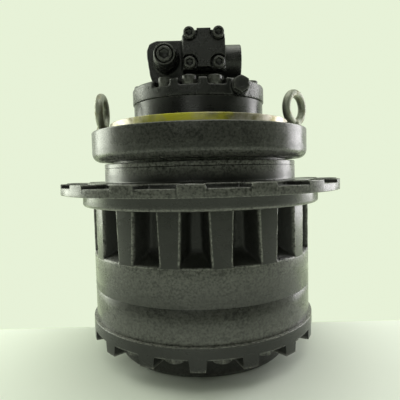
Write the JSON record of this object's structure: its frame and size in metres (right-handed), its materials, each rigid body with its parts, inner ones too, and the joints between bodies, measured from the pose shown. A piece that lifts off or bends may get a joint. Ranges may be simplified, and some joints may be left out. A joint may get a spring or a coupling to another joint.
{
  "type": "excavator final drive",
  "caption": "Flanged travel motor and two-stage planetary drive with a notched sprocket flange, a ribbed barrel, a toothed end cover and two lifting eyes.",
  "frame": {"origin": "centre of the mounting flange's face that sits against the track frame, on the axis of rotation", "axes": "+Z along the axis of rotation towards the motor, -Y towards the side with the bolted port cover, +X to the right of it"},
  "size_m": [0.6474, 0.6474, 0.7175],
  "materials": {
    "black_paint": "satin black paint over machined steel",
    "black_cast": "satin black paint over rough casting",
    "grey_iron": "as cast",
    "bright_steel": "ground",
    "rubber": "matte",
    "bronze": "machined bronze",
    "galvanised_steel": "dull galvanised"
  },
  "bodies": {
    "housing": {"spindle_housing": "black_paint", "motor_cover": "black_cast", "motor_cover_bolts": "black_paint", "valve_plate": "bronze", "cylinder_block": "bright_steel", "pistons": "bright_steel", "piston_shoes": "bronze", "shoe_retainer": "bright_steel", "swash_plate": "bright_steel", "shaft_bearings": "bright_steel", "shaft_seal": "rubber", "brake_friction_plates": "bronze", "brake_separator_plates": "bright_steel", "brake_springs": "bright_steel", "port_cover": "black_cast", "port_cover_bolts": "black_paint", "relief_plug": "black_paint", "drain_plug": "black_paint", "spool_cap": "black_paint", "spool_springs": "bright_steel", "bearing_inner_races": "bright_steel", "bearing_nut": "bright_steel", "seal_ring_fixed": "bright_steel", "seal_cord_fixed": "rubber", "carrier_2": "grey_iron", "carrier_2_bolts": "bright_steel", "carrier_2_pins": "bright_steel", "stage_2_needle_rings": "bright_steel", "stage_2_washers": "bronze", "lifting_eye_left": "galvanised_steel", "lifting_eye_right": "galvanised_steel"},
    "hub_group": {"hub": "black_paint", "ring_gear": "black_paint", "end_cover": "black_paint", "cover_bolts": "black_paint", "dowels": "bright_steel", "cover_plugs": "bright_steel", "bearing_outer_races": "bright_steel", "seal_ring_rotating": "bright_steel", "seal_cord_rotating": "rubber", "thrust_disc": "bronze"},
    "bearing_roller_group": {"bearing_rollers": "bright_steel"},
    "stage_1_carrier_group": {"carrier_1": "grey_iron", "carrier_1_pins": "bright_steel", "stage_1_needle_rings": "bright_steel", "stage_1_washers": "bronze", "sun_gear_2": "bright_steel"},
    "drive_shaft_group": {"motor_shaft": "bright_steel", "shaft_coupling": "bright_steel", "sun_shaft_1": "bright_steel"},
    "brake_piston_group": {"brake_piston": "bright_steel"},
    "spool_group": {"counterbalance_spool": "bright_steel"},
    "planet_1_a_group": {"planet_1_a": "bright_steel"},
    "planet_1_b_group": {"planet_1_b": "bright_steel"},
    "planet_1_c_group": {"planet_1_c": "bright_steel"},
    "planet_2_a_group": {"planet_2_a": "bright_steel"},
    "planet_2_b_group": {"planet_2_b": "bright_steel"},
    "planet_2_c_group": {"planet_2_c": "bright_steel"},
    "planet_2_d_group": {"planet_2_d": "bright_steel"}
  },
  "joints": [
    {"name": "hub_spin", "type": "hinge", "parent": "housing", "child": "hub_group", "pos_m": [0, 0, -0.2], "axis": [0, 0, 1], "continuous": true},
    {"name": "roller_orbit", "type": "hinge", "parent": "housing", "child": "bearing_roller_group", "pos_m": [0, 0, -0.17], "axis": [0, 0, 1], "continuous": true},
    {"name": "carrier_1_spin", "type": "hinge", "parent": "housing", "child": "stage_1_carrier_group", "pos_m": [0, 0, -0.4], "axis": [0, 0, 1], "continuous": true},
    {"name": "drive_shaft_spin", "type": "hinge", "parent": "housing", "child": "drive_shaft_group", "pos_m": [0, 0, -0.1], "axis": [0, 0, 1], "continuous": true},
    {"name": "planet_1_a_spin", "type": "hinge", "parent": "stage_1_carrier_group", "child": "planet_1_a_group", "pos_m": [0.117, 0, -0.4], "axis": [0, 0, 1], "continuous": true},
    {"name": "planet_1_b_spin", "type": "hinge", "parent": "stage_1_carrier_group", "child": "planet_1_b_group", "pos_m": [-0.0585, 0.10132, -0.4], "axis": [0, 0, 1], "continuous": true},
    {"name": "planet_1_c_spin", "type": "hinge", "parent": "stage_1_carrier_group", "child": "planet_1_c_group", "pos_m": [-0.0585, -0.10132, -0.4], "axis": [0, 0, 1], "continuous": true},
    {"name": "planet_2_a_spin", "type": "hinge", "parent": "housing", "child": "planet_2_a_group", "pos_m": [0.12, 0, -0.32], "axis": [0, 0, 1], "continuous": true},
    {"name": "planet_2_b_spin", "type": "hinge", "parent": "housing", "child": "planet_2_b_group", "pos_m": [0, 0.12, -0.32], "axis": [0, 0, 1], "continuous": true},
    {"name": "planet_2_c_spin", "type": "hinge", "parent": "housing", "child": "planet_2_c_group", "pos_m": [-0.12, 0, -0.32], "axis": [0, 0, 1], "continuous": true},
    {"name": "planet_2_d_spin", "type": "hinge", "parent": "housing", "child": "planet_2_d_group", "pos_m": [0, -0.12, -0.32], "axis": [0, 0, 1], "continuous": true},
    {"name": "brake_piston_lift", "type": "slide", "parent": "housing", "child": "brake_piston_group", "axis": [0, 0, 1], "range_m": [0, 0.0025], "deforming": ["brake_springs"]},
    {"name": "spool_shift", "type": "slide", "parent": "housing", "child": "spool_group", "axis": [1, 0, 0], "range_m": [-0.008, 0.008], "stiffness_N_per_m": 2000, "deforming": ["spool_springs"]}
  ],
  "couplings": [
    {"joint": "roller_orbit", "follows": "hub_spin", "ratio": 0.53588},
    {"joint": "carrier_1_spin", "follows": "hub_spin", "ratio": -4.7143},
    {"joint": "drive_shaft_spin", "follows": "hub_spin", "ratio": -36.143},
    {"joint": "planet_1_a_spin", "follows": "hub_spin", "ratio": 13.968},
    {"joint": "planet_1_b_spin", "follows": "hub_spin", "ratio": 13.968},
    {"joint": "planet_1_c_spin", "follows": "hub_spin", "ratio": 13.968},
    {"joint": "planet_2_a_spin", "follows": "hub_spin", "ratio": 2.5385},
    {"joint": "planet_2_b_spin", "follows": "hub_spin", "ratio": 2.5385},
    {"joint": "planet_2_c_spin", "follows": "hub_spin", "ratio": 2.5385},
    {"joint": "planet_2_d_spin", "follows": "hub_spin", "ratio": 2.5385}
  ]
}
